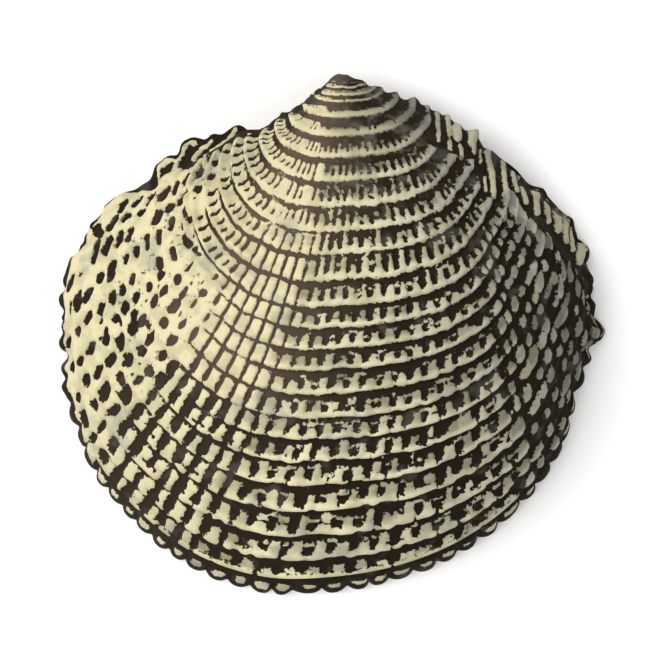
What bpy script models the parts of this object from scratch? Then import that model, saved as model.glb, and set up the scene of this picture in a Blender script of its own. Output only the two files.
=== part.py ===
"""One valve of a reticulate lucine clam, lying with its dome up.

The shell is one grown piece.  Its outside is a stack of growth lines: each one
is the closed outline of the shell at a younger age, smaller, more oval and more
tilted the nearer it is to the beak.  The growth lines carry low concentric
ridges.  The inside is a bowl under the dome, with a flat margin all round and a
broader flat hinge plate below the beak.

Frame: +X points to the posterior end, +Y to the beak, +Z out of the dome.  The
flat margin lies on z = 0, and the origin is under the middle of the outline.
Angles round the shell run from 0 at the posterior end through 90 at the ventral
margin, 180 at the anterior end and 270 at the hinge.
"""

import math

import bmesh
import bpy
from mathutils import Vector
from mathutils.bvhtree import BVHTree

MM = 0.001

# ---- driving dimensions, in millimetres and degrees -------------------------
# adult outline: radius every 15 degrees from a centre 17.96 mm below the hinge
OUTLINE = (
    24.6, 23.5, 23.8, 23.7, 23.6, 23.6,  # posterior to ventral
    23.9, 24.7, 25.1, 25.1, 25.2, 24.9,  # ventral to anterior
    24.7, 24.7, 23.4, 21.9, 20.8, 18.7,  # anterior to hinge
    18.1, 18.7, 20.8, 22.3, 23.6, 24.6,  # hinge to posterior
)
CENTRE_X = -1.20  # centre of the outline, from the hinge point
CENTRE_BELOW = 17.96
BEAK_OVERHANG = 5.45  # how far the beak stands out past the hinge line
BEAK_PATH = 0.70  # exponent of the beak's way back to the hinge line
BEAK_HEIGHT = 3.7  # height of the beak above the flat margin
DRIFT = 3.6  # sideways lean of the half-grown shell to the posterior
LEAN_DEG, LEAN_FALL = 83.5, 1.83  # foreshortening of the young growth lines
RISE_DEG, RISE_FALL = 75.0, 0.85  # tilt that lifts the growth lines into a dome
TIP_AGE = 0.06  # growth below this age makes the rounded tip of the beak

RIDGES = 22  # concentric ridges, evenly spaced in age
FIRST_RIDGE, RIDGE_STEP = 0.104, 0.0417
RIDGE_HEIGHT = 0.34
RIDGE_SHARE = 0.22  # a ridge is at most this share of the way to the next one

MARGIN_WIDTH = 1.45  # flat margin all round
HINGE_WIDTH = 3.3  # flat hinge plate below the beak
HINGE_HALF_ANGLE = 46.0
WALL = 1.4  # wall thickness

AROUND = 72  # segments round the shell
INNER_RINGS = 12
TIP_AGES = (0.012, 0.035, 0.06, 0.083)

SHELL_COLOUR = (0.70, 0.64, 0.45, 1.0)
SHELL_ROUGHNESS = 0.55


def outline_radius(angle):
    """Adult radius at an angle in radians, on a smooth closed curve."""
    place = (angle / (2 * math.pi) * len(OUTLINE)) % len(OUTLINE)
    index = int(math.floor(place))
    f = place - index
    a, b, c, d = (OUTLINE[(index + k) % len(OUTLINE)] for k in (-1, 0, 1, 2))
    return 0.5 * (
        2 * b
        + (c - a) * f
        + (2 * a - 5 * b + 4 * c - d) * f**2
        + (3 * b - a - 3 * c + d) * f**3
    )


def young_shape(angle, age):
    """Factor on the radius: the young shell is more oval and less round below."""
    y = 1 - age
    first = (
        0.155 * math.sin(angle)
        + 0.455 * math.cos(2 * angle)
        + 0.055 * math.sin(2 * angle)
        + 0.025 * math.sin(3 * angle)
    )
    second = (
        0.145 * math.cos(angle)
        - 0.16 * math.cos(2 * angle)
        - 0.155 * math.sin(2 * angle)
        - 0.085 * math.sin(3 * angle)
    )
    return 1 + y * first + y * y * second


def growth_point(age, angle):
    """A point of the smooth outside, in mm from the hinge point; age runs 0 to 1."""
    radius = outline_radius(angle) * young_shape(angle, age)
    below = CENTRE_BELOW + radius * math.sin(angle)
    lean = math.cos(math.radians(LEAN_DEG) * (1 - age) ** LEAN_FALL)
    rise = math.sin(math.radians(RISE_DEG) * (1 - age) ** RISE_FALL)
    size = age if age > TIP_AGE else math.sqrt(age * TIP_AGE)  # a rounded tip
    x = DRIFT * age * (1 - age) + size * (CENTRE_X + radius * math.cos(angle))
    y = BEAK_OVERHANG * (1 - age**BEAK_PATH) - size * lean * below
    z = BEAK_HEIGHT * (1 - age) + size * rise * below
    return Vector((x, y, z))


def outward(age, angle):
    """Unit normal of the smooth outside."""
    step = 0.004
    low, high = max(age - step, 0.002), min(age + step, 1.0)
    along = growth_point(high, angle) - growth_point(low, angle)
    around = growth_point(age, angle - step) - growth_point(age, angle + step)
    return along.cross(around).normalized()


def outer_rings():
    """(age, side of the smooth outside: 1 crest, -1 furrow) from beak to margin."""
    rings = [(age, 0) for age in TIP_AGES]
    for n in range(RIDGES):
        age = FIRST_RIDGE + n * RIDGE_STEP
        rings.append((age, 1))
        if n < RIDGES - 1:
            rings.append((age + 0.42 * RIDGE_STEP, -1))
    rings.append((1.0, 0))
    return rings


def sculpted_point(age, side, angle):
    """A point of the ridged outside.  Ridges are lower where growth lines crowd."""
    spot = growth_point(age, angle)
    if side == 0:
        return spot
    after = growth_point(min(age + RIDGE_STEP / 2, 1.0), angle)
    gap = (after - growth_point(age - RIDGE_STEP / 2, angle)).length
    height = min(RIDGE_HEIGHT, RIDGE_SHARE * gap)
    return spot + outward(age, angle) * (0.5 * side * height)


def margin_width(angle):
    """Width of the flat margin: broad along the hinge, narrow elsewhere."""
    off = abs((math.degrees(angle) - 270 + 180) % 360 - 180) / HINGE_HALF_ANGLE
    share = 0.5 + 0.5 * math.cos(math.pi * min(off, 1.0))
    return MARGIN_WIDTH + (HINGE_WIDTH - MARGIN_WIDTH) * min(1.0, 1.7 * share)


def inner_edge(angle):
    """Inner edge of the flat margin, in mm from the hinge point."""
    edge = growth_point(1.0, angle)
    centre = Vector((CENTRE_X, -CENTRE_BELOW, 0))
    inward = centre - edge
    return edge + inward.normalized() * margin_width(angle)


def inside_of_dome():
    """The smooth outside moved in by the wall thickness, to drop points on from above."""
    rows, columns = 48, 120
    points = []
    for i in range(rows):
        age = 0.04 + 0.96 * i / (rows - 1)
        for j in range(columns):
            angle = 2 * math.pi * j / columns
            points.append(growth_point(age, angle) - outward(age, angle) * WALL)
    quads = [
        (i * columns + j, i * columns + (j + 1) % columns, (i + 1) * columns + (j + 1) % columns, (i + 1) * columns + j)
        for i in range(rows - 1)
        for j in range(columns)
    ]
    return BVHTree.FromPolygons(points, quads)


def ring_and_segment(co, rings):
    """Which ring (0 at the north pole) and which segment a sphere point is on."""
    ring = round(math.acos(max(-1.0, min(1.0, co.z))) / math.pi * rings)
    segment = round(math.atan2(co.y, co.x) / (2 * math.pi) * AROUND) % AROUND
    return ring, segment


def valve_mesh():
    """A sphere whose rings are laid on the growth lines, the margin and the bowl."""
    ages = outer_rings()
    rings = len(ages) + 1 + INNER_RINGS
    bm = bmesh.new()
    bmesh.ops.create_uvsphere(bm, u_segments=AROUND, v_segments=rings, radius=1.0)
    places = {v: ring_and_segment(v.co, rings) for v in bm.verts}

    # the outside, and the inner edge of the margin
    for vert, (ring, segment) in places.items():
        # seen from outside the sphere runs counter-clockwise, the shell's angles clockwise
        angle = -2 * math.pi * segment / AROUND
        if ring == 0:
            vert.co = growth_point(0.0, 0.0)
        elif ring <= len(ages):
            age, side = ages[ring - 1]
            vert.co = sculpted_point(age, side, angle)
        else:
            vert.co = inner_edge(angle)

    # the bowl follows the dome at one wall thickness
    roof = inside_of_dome()
    middle = Vector((CENTRE_X, -CENTRE_BELOW + 0.5, 0))
    for vert, (ring, segment) in places.items():
        inner = ring - len(ages) - 1
        if inner <= 0:
            continue
        out = 1 - inner / INNER_RINGS
        share = math.sin(0.5 * math.pi * out) ** 0.8
        spot = middle.lerp(inner_edge(-2 * math.pi * segment / AROUND), share)
        hit = roof.ray_cast(spot + Vector((0, 0, 60)), Vector((0, 0, -1)))[0]
        height = hit.z if hit else 0.0
        vert.co = Vector((spot.x, spot.y, max(0.05, height * (1 - share**7))))

    bmesh.ops.scale(bm, vec=(MM, MM, MM), verts=bm.verts)
    bmesh.ops.recalc_face_normals(bm, faces=bm.faces)
    low = Vector([min(v.co[k] for v in bm.verts) for k in range(3)])
    high = Vector([max(v.co[k] for v in bm.verts) for k in range(3)])
    shift = Vector((-(low.x + high.x) / 2, -(low.y + high.y) / 2, -low.z))
    bmesh.ops.translate(bm, vec=shift, verts=bm.verts)
    mesh = bpy.data.meshes.new("left_valve")
    bm.to_mesh(mesh)
    bm.free()
    return mesh


def shell_material():
    material = bpy.data.materials.new("shell")
    material.use_nodes = True
    shader = material.node_tree.nodes["Principled BSDF"]
    shader.inputs["Base Color"].default_value = SHELL_COLOUR
    shader.inputs["Roughness"].default_value = SHELL_ROUGHNESS
    shader.inputs["Metallic"].default_value = 0.0
    return material


def main():
    for obj in list(bpy.data.objects):
        bpy.data.objects.remove(obj, do_unlink=True)
    shell = bpy.data.collections.new("lucine_shell")
    bpy.context.scene.collection.children.link(shell)
    mesh = valve_mesh()
    mesh.materials.append(shell_material())
    mesh.shade_smooth()
    valve = bpy.data.objects.new("left_valve", mesh)
    shell.objects.link(valve)


main()
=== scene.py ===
"""Looks of one valve of a netted lucine clam, lying dome up on a pale floor.

The valve is rebuilt on the same growth lines as the CAD solid, as one fine
mesh: concentric ridges, radial riblets between them, and the dark windows that
they leave.  Two coordinates run over the outside.  v counts the ridges from the
beak to the margin, and u counts the riblets round the shell.  The pattern is a
signed distance, in millimetres, to the edge of the nearest dark window or
furrow.  The mesh takes its relief from it, and the material its colour.
"""

import math

import bpy
import numpy as np
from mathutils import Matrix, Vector
from mathutils.bvhtree import BVHTree


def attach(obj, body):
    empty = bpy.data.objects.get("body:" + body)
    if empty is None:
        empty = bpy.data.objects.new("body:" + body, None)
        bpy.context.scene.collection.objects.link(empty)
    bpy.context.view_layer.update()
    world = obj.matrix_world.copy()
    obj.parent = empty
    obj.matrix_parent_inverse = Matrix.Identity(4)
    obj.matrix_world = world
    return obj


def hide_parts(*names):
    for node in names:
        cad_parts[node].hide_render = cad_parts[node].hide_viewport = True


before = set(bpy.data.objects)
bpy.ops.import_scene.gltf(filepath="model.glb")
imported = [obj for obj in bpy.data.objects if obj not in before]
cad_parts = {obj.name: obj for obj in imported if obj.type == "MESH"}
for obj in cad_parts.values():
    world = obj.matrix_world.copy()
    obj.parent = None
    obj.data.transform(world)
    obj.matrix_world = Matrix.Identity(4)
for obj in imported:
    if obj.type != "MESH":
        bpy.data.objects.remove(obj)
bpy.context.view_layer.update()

MM = 0.001
RNG = np.random.default_rng(41)

# ---- the growth lines, as in the CAD solid (millimetres, from the hinge point) ----
OUTLINE = np.array(
    (
        24.6, 23.5, 23.8, 23.7, 23.6, 23.6, 23.9, 24.7, 25.1, 25.1, 25.2, 24.9,
        24.7, 24.7, 23.4, 21.9, 20.8, 18.7, 18.1, 18.7, 20.8, 22.3, 23.6, 24.6,
    )
)
CENTRE_X, CENTRE_BELOW = -1.20, 17.96
BEAK_OVERHANG, BEAK_PATH, BEAK_HEIGHT = 5.45, 0.70, 3.7
DRIFT = 3.6
LEAN_DEG, LEAN_FALL = 83.5, 1.83
RISE_DEG, RISE_FALL = 75.0, 0.85
TIP_AGE = 0.06
HINGE_POINT = np.array((1.238, 18.292, 0.0))  # of the growth lines, in the frame
WALL = 1.4

# ---- ridges and riblets ----------------------------------------------------------
# ages at which the ridges stopped: growth is a little uneven
RIDGE_AGES = (
    0.099, 0.141, 0.186, 0.231, 0.277, 0.323, 0.367, 0.406, 0.451, 0.495, 0.531,
    0.568, 0.604, 0.646, 0.689, 0.727, 0.767, 0.810, 0.856, 0.902, 0.944, 0.979,
)
V_FIRST, V_LAST = -4.0, 21.5
RIBLETS = 68
RIDGE_HEIGHT = 0.40
PIT_DEPTH = 0.34


def smooth(x, low, high):
    s = np.clip((x - low) / (high - low), 0.0, 1.0)
    return s * s * (3 - 2 * s)


def bell(x, centre, width):
    return np.exp(-(((x - centre) / width) ** 2))


def outline_radius(angle):
    place = (angle / (2 * np.pi) * len(OUTLINE)) % len(OUTLINE)
    i = np.floor(place).astype(int)
    f = place - i
    a, b, c, d = (OUTLINE[(i + k) % len(OUTLINE)] for k in (-1, 0, 1, 2))
    return 0.5 * (2 * b + (c - a) * f + (2 * a - 5 * b + 4 * c - d) * f**2 + (3 * b - a - 3 * c + d) * f**3)


def young_shape(angle, age):
    y = 1 - age
    first = 0.155 * np.sin(angle) + 0.455 * np.cos(2 * angle) + 0.055 * np.sin(2 * angle) + 0.025 * np.sin(3 * angle)
    second = 0.145 * np.cos(angle) - 0.16 * np.cos(2 * angle) - 0.155 * np.sin(2 * angle) - 0.085 * np.sin(3 * angle)
    return 1 + y * first + y * y * second


def growth_point(age, angle):
    """Points of the smooth outside, in mm in the frame."""
    age, angle = np.broadcast_arrays(np.asarray(age, float), np.asarray(angle, float))
    radius = outline_radius(angle) * young_shape(angle, age)
    below = CENTRE_BELOW + radius * np.sin(angle)
    lean = np.cos(math.radians(LEAN_DEG) * (1 - age) ** LEAN_FALL)
    rise = np.sin(math.radians(RISE_DEG) * (1 - age) ** RISE_FALL)
    size = np.where(age > TIP_AGE, age, np.sqrt(np.maximum(age, 0) * TIP_AGE))
    x = DRIFT * age * (1 - age) + size * (CENTRE_X + radius * np.cos(angle))
    y = BEAK_OVERHANG * (1 - np.maximum(age, 0) ** BEAK_PATH) - size * lean * below
    z = BEAK_HEIGHT * (1 - age) + size * rise * below
    return np.stack([x, y, z], -1) + HINGE_POINT


# riblets swing towards the front of the shell as it grows
SWING_POWER = 1.314


def swing(t):
    hump = 26.7 * bell(t, 65.9, 41.8)
    plateau = 15.4 * 0.5 * (1 - np.tanh((t - 165) / 15)) * 0.5 * (1 + np.tanh((t - 15) / 12))
    return hump + plateau


def riblet_table():
    """Riblet number against the angle at which the riblet meets the margin, in degrees."""
    t = np.arange(-90, 270.001, 0.05)
    spacing = 5.7 - 0.95 * 0.5 * (np.tanh((t - 75) / 8) - np.tanh((t - 158) / 10))
    density = 1 / spacing
    hinge = bell(t, 270, 28) + bell(t, -90, 28)
    density = density + (RIBLETS - density[:-1].sum() * 0.05) * hinge / (hinge[:-1].sum() * 0.05)
    return t, np.concatenate([[0], np.cumsum(density[:-1] * 0.05)])


TABLE_T, TABLE_U = riblet_table()
TABLE_U[-1] = RIBLETS


def margin_angle(u):
    return np.interp((u + 0.25) % RIBLETS, TABLE_U, TABLE_T)


def age_of(v):
    knots = np.concatenate([[-4.0, -3.0, -2.0, -1.0], np.arange(len(RIDGE_AGES)), [V_LAST]])
    ages = np.concatenate([[0.0, 0.030, 0.055, 0.080], RIDGE_AGES, [1.0]])
    return np.interp(v, knots, ages)


def angle_of(u, age):
    t = margin_angle(u)
    return np.radians(t - (1 - age) ** SWING_POWER * swing(t))


def surface(u, v):
    age = age_of(v)
    return growth_point(age, angle_of(u, age))


def surface_normal(u, v):
    du, dv = 0.02, 0.02
    across = surface(u - du, v) - surface(u + du, v)
    along = surface(u, np.minimum(v + dv, V_LAST)) - surface(u, np.maximum(v - dv, V_FIRST + 0.05))
    n = np.cross(along, across)
    return n / np.maximum(np.linalg.norm(n, axis=-1, keepdims=True), 1e-9)


# ---- the rear keel ------------------------------------------------------------------
# above the keel the ridges don't follow the growth lines: they run straight up, leaning
# a little forward, to the hinge side
KEEL_LEAN = 0.20


def keel_table():
    """For each v, where its ridge touches the keel: x + lean * y, y, and the angle there."""
    v = np.linspace(V_FIRST + 0.1, V_LAST, 260)
    angle = np.radians(np.linspace(-75, 60, 541))
    points = growth_point(age_of(v)[:, None], angle[None, :])
    slanted = points[..., 0] + KEEL_LEAN * points[..., 1]
    k = slanted.argmax(1)
    rows = np.arange(len(v))
    return v, np.maximum.accumulate(slanted[rows, k] + 1e-6 * v), points[rows, k, 1], angle[k]


KEEL_V, KEEL_X, KEEL_Y, KEEL_ANGLE = keel_table()


def over_keel(v, angle, place):
    """(v of the straight ridge, height above the keel in mm, weight, mm per ridge)."""
    angle = (angle + np.pi / 2) % (2 * np.pi) - np.pi / 2
    touch = np.interp(v, KEEL_V, KEEL_ANGLE)
    slanted = place[..., 0] + KEEL_LEAN * place[..., 1]
    straight = np.interp(slanted, KEEL_X, KEEL_V)
    above = place[..., 1] - np.interp(straight, KEEL_V, KEEL_Y)
    weight = np.where(angle < touch, smooth(np.degrees(angle), -88, -66), 0.0)
    pitch = 1 / np.maximum(np.gradient(KEEL_V, KEEL_X), 1e-3)
    return straight, np.where(weight > 0, above, 0.0), weight, np.interp(straight, KEEL_V, pitch)


# ---- single features, drawn with lines (points in mm, in the frame, from above) ----------
# a furrow sets off the lunule, in front of the beak
FURROW = (
    (-20.1, 12.95), (-17.15, 13.9), (-15.7, 14.25), (-13.9, 14.9), (-12.6, 15.25), (-11.3, 16.3), (-9.8, 17.1), (-8.7, 17.8), (-7.2, 18.25),
)
# the rounded ends of the ridges on the lunule, with half their width
LOBES = (
    (((-16.06, 14.21), (-15.67, 15.26), (-14.88, 15.80), (-14.22, 15.86)), 0.15),
    (((-15.68, 14.2), (-14.63, 14.55), (-13.6, 14.95)), 0.2),
    (((-14.35, 14.88), (-13.75, 16.18), (-12.95, 17.20), (-12.3, 17.35)), 0.16),
    (((-12.51, 15.99), (-11.72, 16.98), (-10.85, 17.62)), 0.18),
    (((-10.86, 16.69), (-9.75, 17.5), (-8.60, 18.36)), 0.15),
)
# the edge of the rear slope: behind it the ridges stand up as loose bars
SLOPE = (
    (9.07, 21.52), (9.34, 17.1), (11.28, 16.45), (13.49, 15.9), (14.04, 12.77), (15.51, 12.21), (16.43, 13.32), (17.54, 12.03),
    (18.18, 11.02), (20.11, 9.36), (21.04, 7.89), (22.23, 6.6), (23.43, 5.31), (24.17, 4.02), (25.09, 2.91),
)
BARS = (
    (((9.73, 20.07), (9.89, 17.56)), 0.22), (((10.6, 20.02), (10.95, 18.11)), 0.27), (((10.97, 17.56), (11, 16.82)), 0.22),
    (((11.5, 18.82), (11.74, 17.83)), 0.39), (((11.97, 17.1), (12.15, 16.17)), 0.24), (((12.86, 18.45), (12.98, 17.56)), 0.44),
    (((13.21, 17.19), (13.3, 16.63)), 0.24), (((13.82, 16.79), (13.9, 15.71)), 0.18), (((14.45, 16.62), (14.91, 14.89)), 0.3),
    (((14.91, 14.89), (15.07, 12.58)), 0.28), (((14.27, 14.33), (14.36, 13.23)), 0.2), (((15.95, 15.82), (16.2, 13.23)), 0.27),
    (((16.2, 13.23), (16.06, 10.56)), 0.25), (((16.89, 14.82), (17.31, 13.23)), 0.26), (((17.84, 13.54), (18.14, 12.12)), 0.25),
    (((18.91, 13.17), (19.15, 11.11)), 0.32), (((19.98, 12.2), (20.18, 10.37)), 0.29), (((20.8, 11.28), (21.1, 9.54)), 0.33),
    (((24.1, 0.4), (24.2, -0.1)), 0.28), (((21.55, 10.7), (21.82, 8.53)), 0.28), (((22.17, 9.62), (22.39, 7.7)), 0.22), (((23.06, 8.06), (23.04, 6.6)), 0.37),
)
# a worn place along the keel, and stained places at the front end
WORN = (
    (((16.43, 12.68), (17.44, 10.65)), 0.6), (((17.44, 10.65), (18.73, 9.64)), 0.42), (((18.73, 9.64), (20.02, 8.26)), 0.35),
)
STAINS = (
    (((-17.95, 1.9), (-17.73, 0.72)), 0.34), (((-16.72, 1.07), (-16.53, 0.5)), 0.20), (((-19.3, 1.44), (-19.11, 0.9)), 0.16),
    (((-21.6, 9.9), (-21.25, 9.2)), 0.45),
)


# the bold slanting pits below the lunule
PITS = (
    (((-18.77, 12.24), (-19.26, 11.32)), 0.26), (((-17.32, 12.7), (-17.98, 11.72)), 0.18), (((-16.2, 12.96), (-16.73, 11.85)), 0.19),
    (((-14.82, 13.23), (-15.55, 12.44)), 0.32), (((-13.9, 13.82), (-14.26, 12.9)), 0.17), (((-12.81, 14.48), (-13.31, 13.82)), 0.21),
    (((-11.67, 15.14), (-12.19, 13.95)), 0.25), (((-17.06, 11.19), (-17.45, 10.93)), 0.25), (((-18.41, 10.86), (-18.77, 10.47)), 0.24),
    (((-19.69, 10.66), (-20.28, 9.74)), 0.31), (((-15.61, 11.06), (-16.07, 10.27)), 0.31), (((-14.36, 11.78), (-14.82, 11.32)), 0.27),
    (((-13.11, 12.96), (-13.84, 11.98)), 0.19), (((-14.36, 10.47), (-14.56, 9.74)), 0.29), (((-18.18, 9.54), (-18.44, 8.69)), 0.26),
    (((-19.16, 9.22), (-19.43, 8.16)), 0.26), (((-20.15, 8.69), (-20.55, 7.51)), 0.34), (((-21.33, 8.36), (-21.76, 6.59)), 0.26),
    (((-16.8, 8.95), (-16.73, 7.9)), 0.2), (((-15.61, 9.41), (-15.68, 8.43)), 0.26), (((-17.68, 7.77), (-17.68, 7.31)), 0.31),
    (((-14.43, 7.77), (-14.23, 6.98)), 0.29), (((-18.64, 7.05), (-18.68, 6.59)), 0.26), (((-19.76, 6.45), (-20.02, 5.86)), 0.33),
    (((-15.61, 6.85), (-15.55, 6.19)), 0.29), (((-13.24, 11.39), (-13.24, 10.6)), 0.18), (((-13.31, 8.76), (-12.78, 8.03)), 0.33),
    (((-12.78, 10.53), (-12.81, 10.2)), 0.18), (((-13.44, 10.14), (-13.44, 9.68)), 0.13),
)


def over_line(place, points):
    """(distance to the line in mm, the same with a sign: positive on its left)."""
    p = place[..., :2]
    best = np.full(p.shape[:-1], 99.0)
    side = np.zeros(p.shape[:-1])
    for a, b in zip(points[:-1], points[1:]):
        a, along = np.array(a), np.subtract(b, a)
        share = np.clip(((p - a) @ along) / (along @ along), 0, 1)
        off = p - (a + share[..., None] * along)
        distance = np.hypot(off[..., 0], off[..., 1])
        sign = np.sign(along[0] * off[..., 1] - along[1] * off[..., 0])
        nearer = distance < best
        best = np.where(nearer, distance, best)
        side = np.where(nearer, sign * distance, side)
    return best, side


def in_strokes(place, strokes):
    """Signed distance (mm) to the edge of the nearest stroke, positive inside."""
    best = np.full(place.shape[:-1], -9.0)
    for points, half in strokes:
        best = np.maximum(best, half - over_line(place, points)[0])
    return best


def wobble(place, size, seed):
    """Smooth noise between -1 and 1, with lumps of the given size in mm."""
    q = place / size + 40.0 + 7.3 * seed
    cell = np.floor(q).astype(int)
    f = q - cell
    f = f * f * (3 - 2 * f)
    total = 0.0
    for dx in (0, 1):
        for dy in (0, 1):
            for dz in (0, 1):
                weight = (f[..., 0] if dx else 1 - f[..., 0]) * (f[..., 1] if dy else 1 - f[..., 1]) * (f[..., 2] if dz else 1 - f[..., 2])
                total = total + weight * LUMPS[(cell[..., 0] + dx) % 32, (cell[..., 1] + dy) % 32, (cell[..., 2] + dz) % 32]
    return total


LUMPS = RNG.uniform(-1, 1, (32, 32, 32))


# small uneven places of growth near the outline: (x, y, mm out or in, radius in mm)
UNEVEN = (
    (-6.2, 19.3, -0.62, 1.5), (-4.1, 20.8, -0.62, 1.3), (-2.6, 21.6, -0.45, 0.9), (-4.3, 20.1, 0.30, 0.4), (-1.8, 21.6, -0.22, 0.4), (-0.5, 22.8, 0.15, 0.4), (-16.8, 14.4, -0.70, 1.2),
    (-18.2, 13.6, -0.60, 1.0), (-20.9, 10.9, -0.25, 0.8), (-22.7, 8.6, -0.62, 0.7), (-23.7, 7.0, 0.15, 0.5), (-21.7, 10.5, -0.15, 0.5), (-8.0, 19.2, 0.40, 0.9), (0.6, 23.6, 0.30, 1.2),
    (-14.9, 16.1, 0.20, 0.7), (-13.4, 17.6, 0.80, 0.8), (-14.1, 16.7, -0.30, 0.5), (-15.9, 15.3, 0.25, 0.6), (-16.6, 14.1, -0.70, 0.6),
    (-8.9, 19.0, 0.25, 0.8), (-24.8, 0.0, -0.45, 0.5), (-24.8, 2.1, -0.48, 0.45), (-24.6, 4.0, -0.32, 0.4), (-24.9, -0.8, -0.20, 0.4), (-24.2, -2.1, -0.20, 0.4), (-24.6, 5.0, 0.15, 0.4), (-24.8, 1.2, 0.15, 0.4), (-12.5, 18.0, 0.62, 0.6), (-11.4, 17.9, -0.18, 0.45), (-10.7, 18.1, 0.20, 0.5), (-9.9, 18.3, -0.15, 0.5), (-8.3, 18.9, 0.45, 0.9),
    (24.4, 0.45, 0.36, 0.5), (24.4, -0.55, 0.42, 0.5), (24.5, 2.2, -0.45, 0.5), (23.8, -1.6, -0.35, 0.4), (24.1, 5.9, -0.40, 0.8),
    (18.4, 14.1, -0.35, 1.2), (22.0, 10.6, 0.35, 0.8), (23.6, 7.8, 0.35, 0.9),
    (24.3, 3.2, -0.32, 0.7), (10.2, 20.3, 0.38, 3.2), (4.5, 22.5, 0.35, 0.5),
    (6.0, 22.1, 0.38, 0.5), (7.9, 21.3, 0.60, 0.5), (10.8, 19.9, 0.40, 0.5),
    (13.1, 18.0, 0.80, 0.55), (13.7, 17.4, 0.22, 0.4), (12.0, 18.6, 0.30, 0.4), (2.9, 22.9, 0.28, 0.5), (15.1, 17.0, 0.35, 0.6), (19.4, 13.0, 0.35, 0.6), (22.2, 10.5, 0.25, 0.6),
)
# and on the margin itself: (riblet number, mm out or in, radius in mm)
UNEVEN_MARGIN = (
    (15.25, -0.45, 0.7), (16.0, -0.20, 0.5), (16.6, 0.15, 0.5), (17.3, -0.60, 0.55), (18.1, -0.25, 1.0), (19.1, -0.20, 1.0),
    (21.1, 0.20, 0.6), (47.25, -0.25, 0.45), (48.85, 0.30, 0.6), (49.9, -0.50, 0.5), (50.5, 0.15, 0.5),
    (52.4, 0.25, 1.0), (54.05, -0.35, 0.5), (54.6, 0.15, 0.4), (55.9, 0.25, 0.5),
)


# ---- the pattern --------------------------------------------------------------------
CELLS_V = 32  # rows of cells, from v = -4
DICE = RNG.random((RIBLETS * 2, CELLS_V, 10))


def dice(i, j, k):
    return DICE[i % (2 * RIBLETS), np.clip(j + 4, 0, CELLS_V - 1), k]


def blend(value, other, share):
    return value * (1 - share) + other * share


def rounded_box(x, y, half_x, half_y, r):
    qx, qy = np.abs(x) - half_x + r, np.abs(y) - half_y + r
    return np.hypot(np.maximum(qx, 0), np.maximum(qy, 0)) + np.minimum(np.maximum(qx, qy), 0) - r


def knobs(u, v, su, sv):
    """Signed distance to loose knobs on a dark ground, one per cell, positive in a knob."""
    i, j = np.floor(u).astype(int), np.floor(v).astype(int)
    best = np.full(u.shape, -9.0)
    for di in (0, 1):
        for dj in (-1, 0, 1):
            r = [dice(i + di, j + dj, k) for k in (1, 2, 3, 4, 5)]
            x = (u - (i + di) - 0.50 * (r[0] - 0.5)) * su
            y = (v - (j + dj) - 0.58 - 0.24 * (r[1] - 0.5)) * sv
            turn = 0.5 * (r[4] - 0.5)
            x, y = x * np.cos(turn) - y * np.sin(turn), x * np.sin(turn) + y * np.cos(turn)
            long = 1 - smooth(u, 20, 24)
            wide = (0.26 + 0.08 * long + 0.42 * r[2] ** 2) * su
            tall = (0.27 - 0.04 * long + 0.16 * r[3]) * sv
            size = np.minimum(wide, tall)
            best = np.maximum(best, size * (1 - np.sqrt((x / wide) ** 2 + (y / tall) ** 2)) - 0.045 - 0.12 * smooth(v, 16.0, 18.0))
    return best


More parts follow.
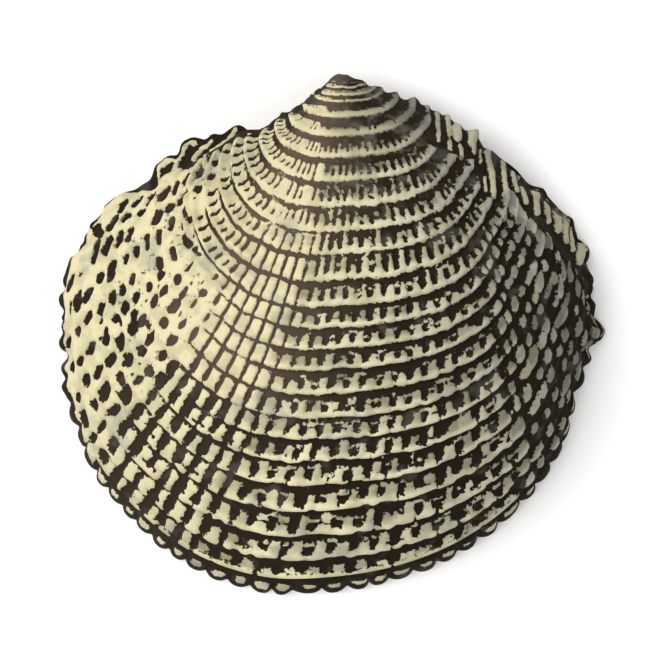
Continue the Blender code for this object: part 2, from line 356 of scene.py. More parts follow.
def pattern(u, v, angle, su, sv, place, normal):
    """What the surface is like at (u, v): su and sv are the sizes of a cell in mm.

    ink    signed distance (mm) to the nearest dark edge, positive on the light side; the dark holds painted shade in the furrows, on the rear slope, in the lunule and on the steep sides
    tone   brightness of the light parts, darkened by painted shade in the grooves and on the rear side
    grey   how grey the light parts are: partly their own colour, partly painted shade of the rear side
    brown  how brown the dark parts are, against black; painted blacker behind and towards the margin as shade
    crisp  how smooth the edges of the dark parts are
    dust   how much the dark parts are dusted with grey
    fleck  how many small dark flecks there are
    crest  0 to 1, on the ridges
    scallop  mm that the margin stands out
    step   mm that the ridges stand out on the flanks of the umbo
    """
    straight, above, keel, pitch = over_keel(v, angle, place)
    v = np.where(keel > 0, blend(v, straight, keel), v)
    sv = np.where(keel > 0, blend(sv, pitch, keel), sv)
    upper = keel * smooth(above, 0.4, 1.6)
    true_u = u

    # riblets stand half a step off on the rear half, and crowd or spread a little in front
    u = u + 0.5 * (1 - smooth(u, 31, 36)) * (u < 50)
    u = u + np.interp(u, (40, 45, 49, 51, 53, 55, 58), (0, 0.2, 0.45, 0.25, -0.2, -0.5, 0))
    v = v + 0.22 * smooth(u, 42, 46) * smooth(v, 8, 10) * (1 - smooth(v, 17.5, 18.5))
    waver = 0.055 * wobble(place, 0.7, 11) + 0.05 * wobble(place, 2.3, 12)
    v = v + waver * smooth(v, 3, 6) * (1 - smooth(v, 20.2, 20.8)) * (1 - upper)
    i, j = np.floor(u).astype(int), np.floor(v).astype(int)
    fu, fv = u - i, v - j
    fv = np.where(j == 20, np.minimum(fv / 0.92, 0.999), fv)
    post = smooth(fu, 0.35, 0.65)  # 0 at the riblet on the left, 1 at the one on the right

    # regions, 0 to 1
    front = smooth(u + 3 * (smooth(v, 1.5, 3.5) - 1), 39.4, 40.6)
    late = smooth(v, 12.5, 15.0)
    lattice = smooth(u, 37.0, 39.5) * (1 - smooth(u, 45.0, 46.5)) * smooth(v, 5.0, 7.0)
    ray = smooth(u, 38.5, 40.5) * (1 - smooth(u, 46.5, 48.0)) * late  # the windows join into radial lines
    pits = smooth(u, 44.8, 46.4) * smooth(v, 9.0, 10.5)
    pits = np.maximum(pits, smooth(u, 49.5, 51.0) * smooth(v, 6.0, 8.0))
    bare = 1.2 + 6.3 * (1 - smooth(u, 20, 27))  # up to this v there are no riblets behind
    umbo = 1 - smooth(v, bare, bare + 1.6)
    rear = (1 - smooth(u, 22.5, 25.5)) * smooth(v, 8.2, 10.2)
    # towards the rear the furrows and windows are drawn wider and more margin knobs are lost, which darkens that side
    # as painted shade
    back = 1 - smooth(u, 24.0, 31.0)
    edge = smooth(v, 20.90, 20.93)

    fold = bell(u, 24.5, 2.2) * (1 - smooth(v, 11, 14))  # dark where the rear slope begins

    # furrow under each ridge: a real groove, whose dark is painted as the shadow that the ridge casts into it
    def furrow(ii, jj):
        r = dice(ii, jj, 0)
        t = np.interp(v, (2, 4, 6, 8, 9.5, 12.5, 14, 17, 20, 20.2), (0.36, 0.24, 0.19, 0.20, 0.34, 0.34, 0.24, 0.27, 0.29, 0.42))
        t = t + 0.24 * (r - 0.5) + 0.04 * back + 0.10 * fold
        t = blend(t, np.interp(v, (-2.5, -2.2, -0.9, -0.5), (0.60, 0.25, 0.25, 0.52)) + 0.14 * r, umbo)
        t = blend(t, np.interp(v, (0, 2, 4, 8.5, 10, 13, 15), (0.38, 0.30, 0.19, 0.18, 0.14, 0.14, 0.20)) + 0.06 * (r - 0.5), front)
        t = blend(t, np.where(r < 0.15, -0.06, 0.17), ray)
        t = blend(t, -0.06, pits)
        return blend(t, 0.38, upper)

    t = blend(furrow(i, j), furrow(i + 1, j), post)
    own = np.where(fv < t, -np.minimum(fv, t - fv), np.minimum(fv - t, 1 - fv))
    line = np.where(t > 0, own, 0.15 - t) * sv

    # windows between the riblets: wide at the top, and narrower where the riblets flare
    r1, r2, r3, r4, r5 = (dice(i, j, k) for k in (1, 2, 3, 4, 5))
    mid = 0.5 + (r1 - 0.5) * 0.12
    half = 0.255 + (0.07 + 0.08 * late) * (r2 - 0.5) + 0.02 * back + 0.015 * late + 0.055 * back * late + 0.03 * fold
    low = 0.78 + (0.10 + 0.10 * late) * (r3 - 0.5)
    flare = 1.05 - 0.40 * np.clip((fv - 0.35) / 0.45, 0, 1) ** 2
    half = half * flare + 0.025 * bell(v, 5.0, 3.0)
    height = (low + 0.1) / 2 * sv
    window = rounded_box((fu - mid) * su, (fv - (low - 0.1) / 2) * sv, half * su, height, 0.3 * np.minimum(half * su, height))
    window = np.where(r5 < 0.02 + 0.9 * umbo * (1 - front), 1.0, window)
    bit = rounded_box((fu - mid - 0.1 * (r3 - 0.5)) * su, (fv - 0.20 - 0.35 * r2) * sv, (0.12 + 0.20 * r4) * su, 0.07 * sv, 0.05)
    bit = np.where((dice(i, j, 9) < 0.50) & (v > 2.5) & (v < 20), bit, 1.0)
    cut = (np.abs(fu - 0.5 - 0.3 * (r3 - 0.5)) - 0.05) * su
    window = np.where(dice(i, j, 8) < 0.28 * late, np.minimum(window, cut), window)

    # radial lines that cut the ridges
    thin = (0.10 + 0.04 * (r2 - 0.5)) * np.where(dice(i, j, 7) < 0.25 * late, 0.3, 1.0)
    radial = (np.abs(fu - mid) - thin) * su
    joined = ray * (r4 < 0.34)
    wide_x = (0.13 + 0.11 * late + (0.05 + 0.12 * late) * (r2 - 0.5)) * su
    wide = rounded_box((fu - mid) * su, (fv - 0.36 - 0.10 * joined) * sv, wide_x, (0.46 + 0.16 * joined) * sv, 0.1)
    window = blend(window, np.minimum(radial, wide), lattice)
    window = window + (0.15 + 0.07 * ray) * late * wobble(place, 0.6, 13) - 0.02 * late
    # in the last row the riblets are blocks, apart from the ridge
    apart = (np.abs(fv - 0.70) - 0.055) * sv + 0.05 * wobble(place, 0.5, 15)
    window = np.where((j == 20) | ((dice(i, j, 9) > 0.84) & (v > 13)), np.minimum(window, blend(0.5, apart, (v > 13) * (1 - pits))), window)

    # short strokes between the lines in front, closer than the riblets
    closer = np.where(j < 6, 1.2, np.where(j < 9, 1.42, 1.6))
    near_u = 41 + (u - 41) * closer
    i_s = np.floor(near_u).astype(int)
    s1, s2, s3 = (dice(i_s, j, k) for k in (1, 2, 3))
    stroke = rounded_box(
        (near_u - i_s - 0.5 + 0.22 * (s1 - 0.5)) * su / closer, (fv - 0.58 + 0.12 * (s2 - 0.5)) * sv,
        0.19 * su / closer, (0.26 + 0.14 * (s3 - 0.5)) * sv, 0.1,
    )
    stroke = np.where((s2 < 0.04) | ((v < 2.2) & (s1 < 0.5)), 1.0, stroke)
    window = blend(window, stroke, front * (1 - lattice) * (1 - pits))

    # oval pits at the front end
    big = 1.13 + 0.20 * late * (1 - smooth(u, 48, 50)) + 0.12 * smooth(u, 51.0, 52.0) + 0.40 * smooth(u, 53.0, 54.5) + 0.4 * (r5 > 0.93)
    turn = 0.7 * (dice(i, j, 8) - 0.5)
    x, y = (fu - 0.5 - 0.34 * (r1 - 0.5)) * su, (fv - 0.5 - 0.22 * (r4 - 0.5)) * sv
    x, y = x * np.cos(turn) - y * np.sin(turn), x * np.sin(turn) + y * np.cos(turn)
    half_x, half_y = (0.20 - 0.035 * smooth(u, 51, 53) + 0.12 * (r2 - 0.5)) * big * su, (0.25 - 0.04 * smooth(u, 51, 53) + 0.12 * (r3 - 0.5)) * big * sv
    power = np.where((r2 < 0.55) & (v > 11.5), 1.25, 2.4)  # some are angular
    pit = np.minimum(half_x, half_y) * ((np.abs(x / half_x) ** power + np.abs(y / half_y) ** power) ** (1 / power) - np.where(power < 2, 1.3, 1.0))
    pit = pit + 0.17 * wobble(place, 0.75, 1) + 0.09 * late * wobble(place, 0.38, 16)
    drawn = (true_u > 48) & (place[..., 0] < -12.5) & (place[..., 1] > 5.7)
    pit = np.where((r5 < 0.10 * (1 - late)) | drawn, 1.0, pit)
    k = np.floor(2 * u + 0.5).astype(int)
    dash = rounded_box((2 * u + 0.5 - k - 0.5) * su / 2, (fv - dice(k, j, 8)) * sv, 0.07 * su, 0.14 * sv, 0.03)
    dash = np.where((dice(k, j, 9) < 0.38) & (u > 46.5) & (u < 54) & (v < 18) & ~drawn, dash, 1.0)
    window = blend(window, np.minimum(pit, dash), pits)

    window = blend(window, 1.0, upper)
    d = np.minimum(line, window)
    d = blend(d, np.maximum(d, -bit), (1 - upper) * (1 - np.maximum(front, lattice)))
    # thin nicks across the riblets
    near = np.where(post > 0.5, i + 1, i)
    nick = rounded_box((u - near - 0.1 * (dice(near, j, 9) - 0.5)) * su, (fv - 0.32 - 0.34 * dice(near, j, 8)) * sv, 0.34 * su, 0.045 * sv, 0.03)
    nick = np.where((dice(near, j, 7) < np.where(v < 14, 0.42, 0.2)) & (v > 3) & (v < 20), nick, 1.0)
    d = blend(d, np.minimum(d, nick), (1 - upper) * (1 - np.maximum(front, lattice)))
    d = blend(d, knobs(u, v, su, sv), rear * (1 - upper))

    # behind the keel the ridges stand up as bars on the rear slope, which is painted dark as shade
    slope = over_line(place, SLOPE)[1]
    behind = (true_u < 27) & (place[..., 0] > 8.6)
    d = np.where(behind & (slope > -0.2), np.minimum(d, -slope - 0.1 + 0.12 * wobble(place, 0.8, 2)), d)
    d = np.where(behind, np.maximum(d, np.maximum(in_strokes(place, BARS) - 0.04, in_strokes(place, WORN)) + 0.06 * wobble(place, 0.5, 3)), d)
    d = np.where(true_u > 44, np.minimum(d, -in_strokes(place, STAINS) + 0.16 * wobble(place, 0.7, 4)), d)
    d = np.where(true_u > 44, np.minimum(d, -in_strokes(place, PITS) - 0.045 + 0.12 * wobble(place, 0.5, 14)), d)

    # the last ridge is a row of knobs along the scalloped margin
    along = u + 0.16 * wobble(place, 2.2, 6)
    stand = along - np.round(along)
    row = np.round(along).astype(int)
    lobed = smooth(u, 45, 47)  # in front the knobs are low and run together
    knob_wide = blend(0.23 + 0.12 * dice(row, 25, 1), 0.47, lobed)
    knob = -rounded_box(stand * su, (v - blend(21.235, 21.16, lobed)) * sv, knob_wide * su, blend(0.055 + 0.05 * dice(row, 25, 3) + 0.03 * smooth(u, 34, 38), 0.35, lobed) * sv, 0.25)
    lost = dice(row, 25, 4) < blend(0.14, 0.40, back)
    knob = knob + 0.08 * wobble(place, 0.6, 10) - (0.14 + 0.3 * back) * lost
    d = blend(d, knob, edge * (1 - upper))
    size = blend(0.50, 0.48, lobed) * blend(1.0, 0.4 + 1.2 * dice(row, 25, 2), 0.4 + 0.6 * lobed)
    size = size * smooth(true_u, 9, 15) * (1 - smooth(true_u, 54, 58))
    scallop = size * (0.55 - (2 * np.abs(stand)) ** 2.5)

    # the lunule: its sunken ground round the ends of the ridges, and a line along the furrow that sets it off, are
    # painted dark as shade
    distance, side = over_line(place, FURROW)
    ahead = (true_u > 48) & (place[..., 0] < -6.5)
    lobe = in_strokes(place, LOBES) + 0.03 * wobble(place, 0.6, 5)
    d = np.where(ahead & (side > 0), np.minimum(lobe, 0.3), np.where(ahead, np.minimum(d, distance - 0.11 + 0.06 * wobble(place, 0.8, 9) + 0.7 * bell(place[..., 0], -15.0, 0.85)), d))

    # painted shade: dark where the sides turn steeply under, more widely on the front flank, which draws a dark line
    # round the outline; and a dark band along the outer edge of the margin
    flank = (true_u > 44) & (v < 9)
    under = np.where(flank, 0.42, 0.16) - np.abs(normal[..., 2])
    d = np.where((true_u < 16) | (true_u > 57.5) | flank, np.minimum(d, -1.5 * under), d)
    d = np.minimum(d, (blend(21.39, 21.12, lobed) + 0.12 * wobble(place, 1.1, 7) * lobed - v) * sv)
    d = np.minimum(d, 23.0 - place[..., 1])  # the tip of the beak

    # brightness of the light parts, with painted shade: the riblets, lower than the ridges, are a little greyer,
    # painted as shade in the grooves, each with a random tone of its own; the rear side, away from the light, is
    # painted darker as shade, and so are the bars on the rear slope and the rear half near the beak
    on_ridge = smooth(fv, 0.62, 0.78)
    crest = smooth(fv, 0.55, 0.80) * (1 - smooth(fv, 0.93, 1.0)) * (1 - smooth(slope, -0.3, 0.1) * behind)
    stub = (0.42 + 0.50 * dice(near, j, 6)) * (1 - 0.35 * (1 - smooth(v, 4.0, 6.5)))
    tone_and_painted_shade = blend(stub, 1.0, on_ridge)
    tone_and_painted_shade = blend(tone_and_painted_shade, 1.0, np.maximum(front, pits))
    tone_and_painted_shade = tone_and_painted_shade * np.interp(u, (12, 15, 18, 21, 24, 27, 30, 33, 36, 40), (0.70, 0.63, 0.53, 0.50, 0.58, 0.68, 0.78, 0.86, 0.90, 0.90)) * (1 + 0.24 * smooth(v, 12.5, 18) * smooth(u, 20, 24) * (1 - smooth(u, 36, 42)))
    tone_and_painted_shade = blend(tone_and_painted_shade, 0.62, smooth(slope, -0.1, 0.1) * behind)
    tone_and_painted_shade = blend(tone_and_painted_shade, np.maximum(tone_and_painted_shade, 0.6), edge)
    tone_and_painted_shade = tone_and_painted_shade * (1 - 0.35 * (1 - smooth(v, 1.5, 4.5)) * (1 - smooth(u, 34, 42)))
    # the light parts grow greyer towards the rear: partly their own colour, partly painted shade of the side away from
    # the light
    grey = np.interp(u, (14, 17, 20, 24, 28, 34, 40), (0.75, 0.9, 0.9, 0.6, 0.35, 0.15, 0.0))
    grey = blend(grey, 0.30, np.maximum(smooth(slope, -0.1, 0.1) * behind, edge))
    # the dark parts are brown across the front of the middle and black behind, towards the margin and at the front end;
    # the black behind and towards the margin is painted shade
    brown = smooth(u, 31, 45) * (1 - 0.80 * late) * (1 - 0.8 * smooth(u, 46.5, 49.5))
    crisp = np.maximum(np.maximum(smooth(u, 38, 42) * (1 - 0.8 * late * (1 - smooth(u, 48, 50))), upper), (behind & (slope > -0.2)) | (ahead & (side > -0.3)))
    dust = (1 - smooth(v, 3.5, 6.0)) * smooth(u, 20, 27) * (1 - front)
    step = smooth(fv, 0.45, 0.85) * (1 - smooth(fv, 0.93, 1.0)) * (1 - smooth(v, 9, 11)) * smooth(v, -1, 1) * (1 - keel)
    step = step * np.maximum(0.42 * smooth(true_u, 43, 46), 0.12 * (1 - smooth(true_u, 22, 26)))
    return {"ink": d, "tone_and_painted_shade": tone_and_painted_shade, "grey": grey, "brown": brown, "crisp": crisp, "dust": dust, "fleck": 0.6 * pits * (1 - smooth(v, 16, 18)) * (1 - smooth(u, 52, 54)), "crest": crest, "scallop": scallop, "step": step}


# ---- the mesh ------------------------------------------------------------------------
def rows_and_columns():
    """v of the rows (coarse ones first) and u of the columns, finer where they show."""
    coarse = [V_FIRST + 0.08, V_FIRST + 0.25, V_FIRST + 0.5, V_FIRST + 0.75]
    coarse += [j + f for j in range(-3, 7) for f in (0.02, 0.16, 0.36, 0.56, 0.74, 0.92)]
    fine = [j + f for j in range(7, 21) for f in (0.02, 0.12, 0.26, 0.41, 0.56, 0.70, 0.84, 0.96)]
    fine += [21.02, 21.07, 21.12, 21.18, 21.24, 21.30, 21.37, 21.44, V_LAST]
    columns = []
    for i in range(RIBLETS):
        t = margin_angle(i + 0.5)
        many = 10 if -28 < t < 232 else 6 if -62 < t < 245 else 4
        columns += [i + k / many for k in range(many)]
    return np.array(coarse), np.array(fine), np.array(columns)


def outside():
    """The rows of the outside in two parts, the coarse one first, each a dictionary of grids."""
    coarse_v, fine_v, u = rows_and_columns()
    parts = []
    for rows, cols in ((coarse_v, u[::2]), (fine_v, u)):
        U, V = np.meshgrid(cols, rows)
        base = surface(U, V)
        normal = surface_normal(U, V)
        angle = angle_of(U, age_of(V))
        su = np.linalg.norm(surface(U + 0.5, V) - surface(U - 0.5, V), axis=-1)
        above, below = np.minimum(V + 0.25, V_LAST), V - 0.25
        sv = np.linalg.norm(surface(U, above) - surface(U, below), axis=-1) / (above - below)
        made = pattern(U, V, angle, su, sv, base, normal)
        strength = np.minimum(1.0, np.minimum(su, sv) / 1.1)
        relief = PIT_DEPTH * (smooth(made["ink"], -0.16, 0.14) - 0.7) + 0.16 * made["crest"]
        relief = relief * strength * (1 - smooth(V, 20.8, 21.1)) + made["scallop"] * smooth(V, 20.93, 21.2) + made["step"]
        sideways = 0.0
        for x, y, out, radius in UNEVEN:
            sideways = sideways + out * np.exp(-((base[..., 0] - x) ** 2 + (base[..., 1] - y) ** 2) / radius**2)
        for at, out, radius in UNEVEN_MARGIN:
            x, y = growth_point(1.0, angle_of(at, 1.0))[:2]
            sideways = sideways + out * np.exp(-((base[..., 0] - x) ** 2 + (base[..., 1] - y) ** 2) / radius**2)
        flatly = normal * (1, 1, 0)
        flatly = flatly / np.maximum(np.linalg.norm(flatly, axis=-1, keepdims=True), 0.3)
        parts.append({**made, "place": base + normal * relief[..., None] + flatly * sideways[..., None]})
    return parts


# ---- the inside: the CAD's flat margin and bowl, with what a lucine has there -----------
MARGIN_WIDTH, HINGE_WIDTH, HINGE_HALF_ANGLE = 1.45, 3.3, 46.0
INNER_ROWS = 27


def margin_width(angle):
    off = np.abs((np.degrees(angle) - 270 + 180) % 360 - 180) / HINGE_HALF_ANGLE
    share = 0.5 + 0.5 * np.cos(np.pi * np.minimum(off, 1.0))
    return MARGIN_WIDTH + (HINGE_WIDTH - MARGIN_WIDTH) * np.minimum(1.0, 1.7 * share)


def grid_tree(grids):
    points, quads, start = [], [], 0
    for grid in grids:
        rows, columns = grid.shape[:2]
        i, j = np.meshgrid(np.arange(rows - 1), np.arange(columns), indexing="ij")
        n = (j + 1) % columns
        corners = [i * columns + j, i * columns + n, (i + 1) * columns + n, (i + 1) * columns + j]
        quads += (np.stack(corners, -1).reshape(-1, 4) + start).tolist()
        points += grid.reshape(-1, 3).tolist()
        start += rows * columns
    return BVHTree.FromPolygons(points, quads)


def offset_roof():
    """The smooth outside moved in by the wall thickness."""
    V, U = np.meshgrid(np.linspace(-2.5, V_LAST, 60), np.arange(150) * RIBLETS / 150, indexing="ij")
    return grid_tree([surface(U, V) - surface_normal(U, V) * WALL])


def inside(u, outer):
    """Rings of the inside from the margin in, one place per column, and the middle point."""
    roof = offset_roof()
    cover = grid_tree([np.concatenate([outer[0], outer[1][:1, ::2]]), outer[1]])
    margin = outer[-1][-1][::2]
    angle = angle_of(u, 1.0)
    edge = margin * (1, 1, 0)
    middle = HINGE_POINT + np.array((CENTRE_X, -CENTRE_BELOW + 0.5, 0.0))
    centre = HINGE_POINT + np.array((CENTRE_X, -CENTRE_BELOW, 0.0))
    inward = centre - edge
    inward /= np.linalg.norm(inward, axis=-1, keepdims=True)
    inner = edge + inward * margin_width(angle)[:, None]
    degrees = np.degrees(angle) % 360
    rings, scars = [], []
    flat = blend(edge, inner, 0.5)
    flat[:, 2] = 0.10
    # two cardinal teeth stand between sockets on the hinge plate, and a lateral one behind
    off = (degrees - 270 + 180) % 360 - 180
    sockets = sum(bell(off, at, 3.2) for at in (-13.0, -3.0, 7.0)) + 0.7 * bell(off, 34.0, 4.0)
    flat[:, 2] += 0.75 * np.clip(sockets, 0, 1) - 0.08 * bell(off, -36.0, 9.0)  # thin at the lunule
    rings.append(flat)
    scars.append(np.zeros(len(u)))
    for k in range(INNER_ROWS):
        out = 1 - k / INNER_ROWS
        share = math.sin(0.5 * math.pi * out) ** 0.8
        spots = middle + (inner - middle) * share
        for n, spot in enumerate(spots):
            hit = roof.ray_cast(Vector((spot[0], spot[1], 60.0)), Vector((0, 0, -1)))[0]
            spots[n, 2] = max(0.02, (hit.z if hit else 0.0) * (1 - share**7))
        # the inner margin is crenulated by the ends of the riblets
        spots[:, 2] += 0.13 * (0.5 + 0.5 * np.cos(2 * np.pi * u)) * float(smooth(np.array(share), 0.86, 0.97))
        x, y = spots[:, 0] - middle[0], spots[:, 1] - middle[1]
        front_scar = 1 - np.hypot((x + 14.6 + 0.12 * y) / 1.7, (y - 0.5) / 7.2)  # long and narrow, as in lucines
        rear_scar = 1 - np.hypot((x - 14.2) / 2.7, (y - 5.0) / 3.6)
        pallial = 0.6 * bell(np.full(len(u), share), 0.83, 0.012) * (y < 3)
        scar = np.maximum(smooth(np.maximum(front_scar, rear_scar), -0.12, 0.22), pallial)
        spots[:, 2] += 0.12 * scar
        rings.append(spots)
        scars.append(scar)
    for ring in rings:
        for spot in ring:
            hit = cover.ray_cast(Vector((spot[0], spot[1], 60.0)), Vector((0, 0, -1)))[0]
            if hit:
                spot[2] = max(0.02, min(spot[2], hit.z - 0.35))
    hit = roof.ray_cast(Vector((middle[0], middle[1], 60.0)), Vector((0, 0, -1)))[0]
    return rings, scars, np.array((middle[0], middle[1], hit.z))


def build_valve():
    """One closed mesh: rings of vertices from the beak over the margin to the inside."""
    coarse_v, fine_v, u = rows_and_columns()
    parts = outside()
    inner_rings, scars, inner_middle = inside(u[::2], [part["place"] for part in parts])
    places, columns, heights, values = [], [], [], {k: [] for k in ("ink", "tone_and_painted_shade", "grey", "brown", "crisp", "dust", "fleck")}
    rings = []

    def add(place, cols, height, made):
        rings.append((sum(len(p) for p in places), len(place)))
        places.append(place)
        columns.append(cols)
        heights.append(np.full(len(place), height))
        for k in values:
            values[k].append(made.get(k, np.zeros(len(place))))

    tip = surface(np.array([0.0]), np.array([V_FIRST]))
    add(tip, np.array([0.0]), 0.17, {"ink": np.array([-0.3]), "tone_and_painted_shade": np.array([0.5])})
    for part, rows, cols in zip(parts, (coarse_v, fine_v), (u[::2], u)):
        for n, v in enumerate(rows):
            made = {k: part[k][n] for k in values}
            add(part["place"][n], cols, 0.17 + 0.825 * (v - V_FIRST) / (V_LAST - V_FIRST), made)
    outer_count = len(rings)
    # the flat rim runs back in under the last ring
    add(inner_rings[0], u[::2], 0.145, {"ink": scars[0]})
    for n, (place, scar) in enumerate(zip(inner_rings[1:], scars[1:])):
        add(place, u[::2], 0.140 - 0.135 * n / INNER_ROWS, {"ink": scar})
    add(inner_middle[None, :], np.array([0.0]), 0.003, {})

    faces, sides = [], []

    def ids(n):
        return rings[n][0] + np.arange(rings[n][1])

    for n in range(len(rings) - 1):
        a, b = ids(n), ids(n + 1)
        before = len(faces)
        if len(a) == 1:
            faces += [(int(a[0]), int(p), int(q)) for p, q in zip(b, np.roll(b, -1))]
        elif len(b) == 1:
            faces += [(int(p), int(b[0]), int(q)) for p, q in zip(a, np.roll(a, -1))]
        elif len(a) == len(b):
            faces += list(zip(a.tolist(), b.tolist(), np.roll(b, -1).tolist(), np.roll(a, -1).tolist()))
        elif len(a) < len(b):
            for k in range(len(a)):
                c0, c1 = int(a[k]), int(a[(k + 1) % len(a)])
                f0, f1, f2 = int(b[2 * k]), int(b[2 * k + 1]), int(b[(2 * k + 2) % len(b)])
                faces += [(c0, f0, f1), (c0, f1, c1), (c1, f1, f2)]
        else:
            for k in range(len(b)):
                c0, c1 = int(b[k]), int(b[(k + 1) % len(b)])
                f0, f1, f2 = int(a[2 * k]), int(a[2 * k + 1]), int(a[(2 * k + 2) % len(a)])
                faces += [(f0, c0, f1), (f1, c0, c1), (f1, c1, f2)]
        sides += [int(n >= outer_count - 1)] * (len(faces) - before)
    faces = [face[::-1] for face in faces]  # so that they face out

    verts = np.concatenate(places)
    verts[:, 2] = np.maximum(verts[:, 2], 0.0)
    mesh = bpy.data.meshes.new("left_valve_shell")
    mesh.from_pydata((verts * MM).tolist(), [], faces)
    for name, rows in values.items():
        mesh.attributes.new(name, "FLOAT", "POINT").data.foreach_set("value", np.concatenate(rows).astype(np.float32))
    mesh.polygons.foreach_set("material_index", sides)

    # an unrolled map: riblets across, ridges up, the inside in a strip below
    column, height = np.concatenate(columns) / RIBLETS, np.concatenate(heights)
    single = {0, len(verts) - 1}
    uv = []
    for face in faces:
        across = [column[k] for k in face if k not in single]
        wraps = max(across) - min(across) > 0.5
        across = [column[k] + (1.0 if wraps and column[k] < 0.5 else 0.0) for k in face]
        middle = sum(x for x, k in zip(across, face) if k not in single) / sum(k not in single for k in face)
        for x, k in zip(across, face):
            uv += [0.004 + 0.992 * (middle if k in single else x), height[k]]
    mesh.uv_layers.new(name="OFBake").data.foreach_set("uv", uv)
    mesh.shade_smooth()
    obj = bpy.data.objects.new("left_valve_shell", mesh)
    bpy.context.scene.collection.objects.link(obj)
    print("VALVE triangles", sum(len(f) - 2 for f in faces), "verts", len(verts))
    return obj


# ---- materials -------------------------------------------------------------------------
class Graph:
    """Short names for the nodes of one material."""

    def __init__(self, name):
        self.material = bpy.data.materials.new(name)
        self.material.use_nodes = True
        self.tree = self.material.node_tree
        self.shader = self.tree.nodes["Principled BSDF"]
        self.where = self.tree.nodes.new("ShaderNodeTexCoord").outputs["Object"]

    def put(self, socket, value):
        if isinstance(value, (int, float, tuple)):
            socket.default_value = value
        else:
            self.tree.links.new(value, socket)

    def attribute(self, name):
        made = self.tree.nodes.new("ShaderNodeAttribute")
        made.attribute_name = name
        return made.outputs["Fac"]

    def noise(self, scale, detail=2.0, roughness=0.5, offset=0.0):
        made = self.tree.nodes.new("ShaderNodeTexNoise")
        made.inputs["Scale"].default_value = scale
        made.inputs["Detail"].default_value = detail
        made.inputs["Roughness"].default_value = roughness
        where = self.where
        if offset:
            moved = self.tree.nodes.new("ShaderNodeVectorMath")
            moved.operation = "ADD"
            self.put(moved.inputs[0], where)
            moved.inputs[1].default_value = (offset, 0.5 * offset, -offset)
            where = moved.outputs[0]
        self.put(made.inputs["Vector"], where)
        return made.outputs["Fac"]

    def math(self, operation, a, b=0.0):
        made = self.tree.nodes.new("ShaderNodeMath")
        made.operation = operation
        self.put(made.inputs[0], a)
        self.put(made.inputs[1], b)
        return made.outputs[0]

    def step(self, value, low, high, to_low=0.0, to_high=1.0):
        made = self.tree.nodes.new("ShaderNodeMapRange")
        made.interpolation_type = "SMOOTHSTEP"
        for name, number in (("Value", value), ("From Min", low), ("From Max", high), ("To Min", to_low), ("To Max", to_high)):
            self.put(made.inputs[name], number)
        return made.outputs["Result"]

    def mix(self, share, a, b, blend_type="MIX"):
        made = self.tree.nodes.new("ShaderNodeMix")
        made.data_type = "RGBA"
        made.blend_type = blend_type
        self.put(made.inputs["Factor"], share)
        self.put(made.inputs["A"], a)
        self.put(made.inputs["B"], b)
        return made.outputs["Result"]

    def bump(self, height, strength, distance):
        made = self.tree.nodes.new("ShaderNodeBump")
        made.inputs["Strength"].default_value = strength
        made.inputs["Distance"].default_value = distance
        self.put(made.inputs["Height"], height)
        self.put(self.shader.inputs["Normal"], made.outputs["Normal"])


def outside_material():
    g = Graph("netted_outside")
    ragged = g.math("MULTIPLY", g.math("SUBTRACT", g.noise(2700.0, 1.5), 0.5), g.step(g.attribute("crisp"), 0.0, 1.0, 0.50, 0.20))
    mask = g.step(g.math("ADD", g.attribute("ink"), ragged), -0.035, 0.035)
    fleck = g.math("MULTIPLY", g.step(g.noise(1700.0, 2.0, offset=0.11), 0.63, 0.66), g.attribute("fleck"))
    mask = g.math("MULTIPLY", mask, g.math("SUBTRACT", 1.0, fleck))
    # light parts: cream, greyer behind (partly painted shade of the rear side), with olive mottles
    plain = g.mix(g.attribute("grey"), (0.68, 0.615, 0.385, 1), (0.62, 0.60, 0.53, 1))
    mottle = g.step(g.noise(470.0, 3.0), 0.46, 0.62)
    light = g.mix(g.math("MULTIPLY", mottle, 0.62), plain, (0.47, 0.43, 0.26, 1))
    smoky = g.step(g.noise(230.0, 3.0, 0.6, offset=0.19), 0.54, 0.66)
    light = g.mix(g.math("MULTIPLY", smoky, 0.62), light, (0.36, 0.36, 0.28, 1))
    # the light parts are multiplied by their tone, which holds the painted shade of the grooves and the rear side
    light = g.mix(1.0, light, g.attribute("tone_and_painted_shade"), "MULTIPLY")
    # dark parts: black-brown, browner in front and painted blacker behind as shade, with faint grey smudges
    dark = g.mix(g.attribute("brown"), (0.0165, 0.0118, 0.0070, 1), (0.098, 0.069, 0.049, 1))
    smudge = g.step(g.noise(420.0, 2.0, offset=0.07), 0.56, 0.70)
    dark = g.mix(g.math("MULTIPLY", smudge, 0.6), dark, (0.075, 0.066, 0.055, 1))
    dusty = g.step(g.noise(700.0, 3.0, 0.6, offset=0.05), 0.48, 0.66)
    dark = g.mix(g.math("MULTIPLY", dusty, g.attribute("dust")), dark, (0.085, 0.073, 0.055, 1))
    g.put(g.shader.inputs["Base Color"], g.mix(mask, dark, light))
    g.put(g.shader.inputs["Roughness"], g.step(g.noise(900.0, 2.0, offset=0.03), 0.3, 0.7, 0.58, 0.75))
    g.shader.inputs["Specular IOR Level"].default_value = 0.04
    g.bump(g.math("ADD", mask, g.noise(5200.0, 3.0)), 0.5, 0.00005)
    return g.material


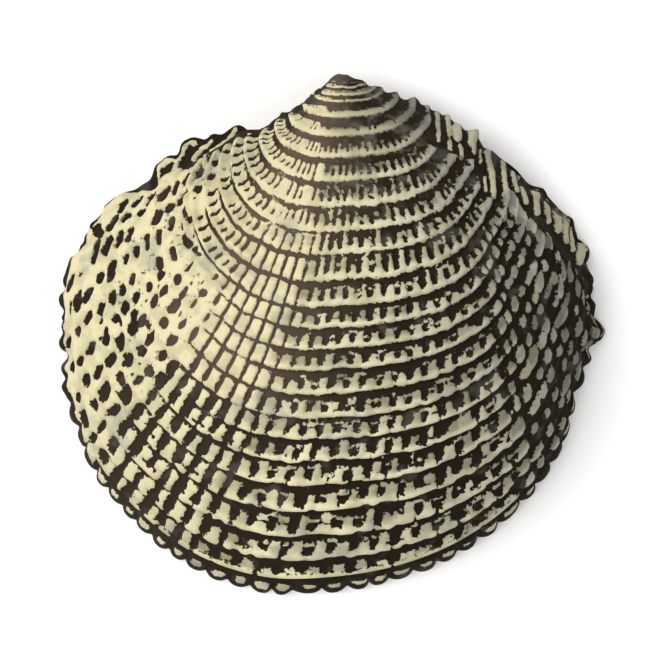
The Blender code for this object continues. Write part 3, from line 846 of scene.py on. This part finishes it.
def inside_material():
    """Porcelain, duller on the muscle scars."""
    g = Graph("porcelain_inside")
    scar = g.attribute("ink")
    plain = g.mix(g.step(g.noise(180.0, 3.0), 0.35, 0.65), (0.80, 0.76, 0.66, 1), (0.72, 0.66, 0.52, 1))
    g.put(g.shader.inputs["Base Color"], g.mix(scar, plain, (0.60, 0.55, 0.44, 1)))
    g.put(g.shader.inputs["Roughness"], g.step(scar, 0.0, 1.0, 0.30, 0.55))
    g.shader.inputs["Specular IOR Level"].default_value = 0.4
    g.bump(g.noise(1400.0, 3.0), 0.25, 0.00005)
    return g.material


def floor_material():
    material = bpy.data.materials.new("pale_floor")
    material.use_nodes = True
    shader = material.node_tree.nodes["Principled BSDF"]
    shader.inputs["Base Color"].default_value = (0.92, 0.92, 0.92, 1)
    shader.inputs["Roughness"].default_value = 0.8
    shader.inputs["Specular IOR Level"].default_value = 0.1
    return material


# ---- scene -----------------------------------------------------------------------------
scene = bpy.context.scene
scene.view_settings.view_transform = "Standard"
scene.view_settings.look = "None"

valve = build_valve()
valve.data.materials.append(outside_material())
valve.data.materials.append(inside_material())
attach(valve, "root")
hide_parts("left_valve")

bpy.ops.mesh.primitive_plane_add(size=3.0, location=(0, 0, -0.00005))
floor = bpy.context.object
floor.name = "floor"
floor.data.materials.append(floor_material())

camera_data = bpy.data.cameras.new("camera")
camera_data.lens = 1200
camera_data.sensor_width = 36
camera = bpy.data.objects.new("camera", camera_data)
scene.collection.objects.link(camera)
FRAME_WIDTH = 660 * 0.09208 * MM
distance = FRAME_WIDTH * camera_data.lens / camera_data.sensor_width
camera.location = (0.0, 0.0, distance)
camera_data.clip_start = 0.01
camera_data.clip_end = 10
scene.camera = camera
# the view is centred a little off the origin
OFF = (0.00004, 0.000336)
camera.location.x += OFF[0]
camera.location.y += OFF[1]


def area_light(name, position, size, power, colour=(1, 1, 1)):
    data = bpy.data.lights.new(name, "AREA")
    data.shape = "SQUARE"
    data.size = size
    data.energy = power
    data.color = colour
    light = bpy.data.objects.new(name, data)
    light.location = position
    light.rotation_euler = (-Vector(position)).to_track_quat("-Z", "Y").to_euler()
    scene.collection.objects.link(light)
    return light


area_light("key", (-0.34, 0.18, 0.50), 0.55, 4.3, (1.0, 0.99, 0.97))
area_light("fill", (0.3, -0.3, 0.6), 0.7, 1.8)
world = bpy.data.worlds.new("studio")
scene.world = world
world.use_nodes = True
world.node_tree.nodes["Background"].inputs["Color"].default_value = (1, 1, 1, 1)
world.node_tree.nodes["Background"].inputs["Strength"].default_value = 0.45
